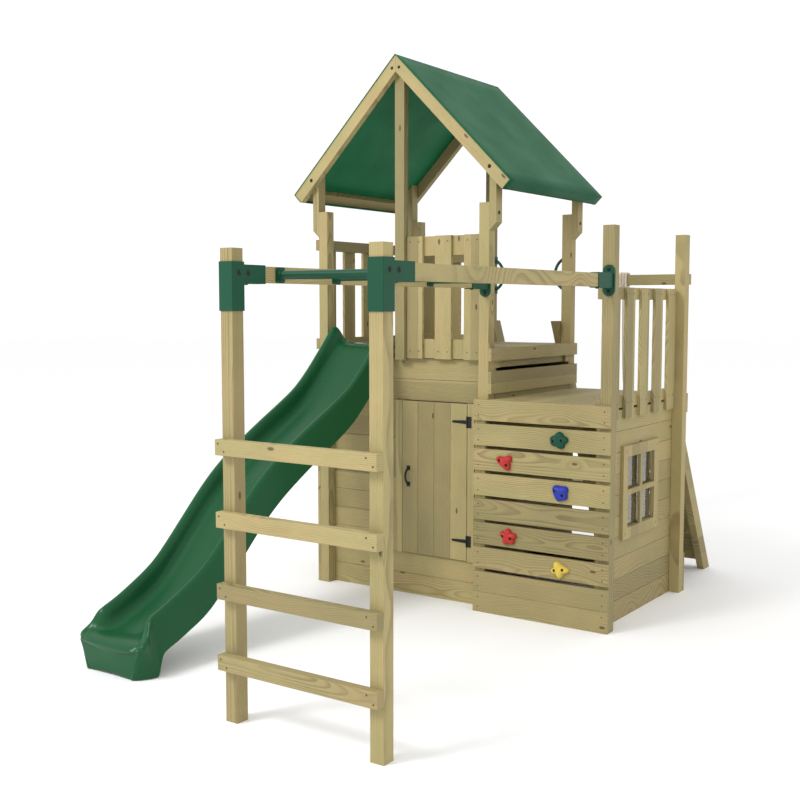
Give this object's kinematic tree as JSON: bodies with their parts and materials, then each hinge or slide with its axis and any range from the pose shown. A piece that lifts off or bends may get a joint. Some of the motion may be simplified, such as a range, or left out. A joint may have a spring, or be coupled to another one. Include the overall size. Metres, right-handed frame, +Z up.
{
  "type": "climbing frame with rock wall",
  "caption": "Timber play tower with a rock climbing wall, slide, playhouse with hinged door, monkey bars, climbing ramp with rope, and pitched sheet roof.",
  "frame": {"origin": "middle of the structure's footprint on the ground, without the rope", "axes": "+Z up, +X to the right seen from the ladder end, +Y from the monkey bar ladder towards the tower's back"},
  "size_m": [2.3005, 4.2368, 3.3985],
  "materials": {
    "post_timber": "planed, pressure treated, satin",
    "board_timber": "sawn and planed boards, pressure treated",
    "deck_timber": "deck boards, pressure treated",
    "slide_plastic": "moulded, soft gloss",
    "bracket_plastic": "moulded, fine texture",
    "bar_paint": "powder coated, satin",
    "cover_fabric": "coated woven sheet",
    "hold_green_resin": "grippy moulded resin",
    "hold_red_resin": "grippy moulded resin",
    "hold_blue_resin": "grippy moulded resin",
    "hold_yellow_resin": "grippy moulded resin",
    "black_steel": "black powder coat",
    "cap_plastic": "moulded dome caps",
    "zinc_steel": "zinc plated",
    "clear_pane": "clear acrylic",
    "rope_fibre": "twisted three strand rope with brown fleck"
  },
  "bodies": {
    "frame": {"annex_boards": "board_timber", "annex_deck_boards": "deck_timber", "annex_posts": "post_timber", "annex_railing": "board_timber", "back_boards": "board_timber", "back_ladder": "board_timber", "back_railing": "board_timber", "bar_flanges": "bracket_plastic", "beam_sockets": "bracket_plastic", "bolt_caps": "cap_plastic", "climbing_board_1": "board_timber", "climbing_board_2": "board_timber", "climbing_board_3": "board_timber", "climbing_board_4": "board_timber", "climbing_board_5": "board_timber", "climbing_board_6": "board_timber", "climbing_board_7": "board_timber", "climbing_board_8": "board_timber", "climbing_board_9": "board_timber", "climbing_rope": "rope_fibre", "deck_joists": "board_timber", "door_jambs": "board_timber", "front_boards": "board_timber", "front_railing": "board_timber", "grab_handles": "bracket_plastic", "hinge_plates": "black_steel", "hold_blue": "hold_blue_resin", "hold_bolts": "zinc_steel", "hold_green": "hold_green_resin", "hold_red_lower": "hold_red_resin", "hold_red_upper": "hold_red_resin", "hold_yellow": "hold_yellow_resin", "king_posts": "post_timber", "ladder_brackets": "bracket_plastic", "ladder_posts": "post_timber", "ladder_rungs": "post_timber", "left_boards": "board_timber", "left_railing": "board_timber", "monkey_bars": "bar_paint", "monkey_beams": "post_timber", "rafters": "post_timber", "ramp": "board_timber", "right_boards": "board_timber", "roof_cover": "cover_fabric", "roof_purlins": "post_timber", "roof_uprights": "post_timber", "rope_knot": "rope_fibre", "rope_rail": "post_timber", "rope_turns": "rope_fibre", "slide": "slide_plastic", "tower_deck_boards": "deck_timber", "tower_posts": "post_timber", "wall_batten": "board_timber", "window_frame": "board_timber", "window_pane": "clear_pane", "wood_screws": "zinc_steel"},
    "door": {"door_planks": "board_timber", "door_ledges": "board_timber", "door_handle": "black_steel", "hinge_straps": "black_steel"}
  },
  "joints": [
    {"name": "door_hinge", "type": "hinge", "parent": "frame", "child": "door", "pos_m": [0.13626, 0.21049, 0.768], "axis": [0, 0, 1], "range_deg": [0, 95]}
  ]
}
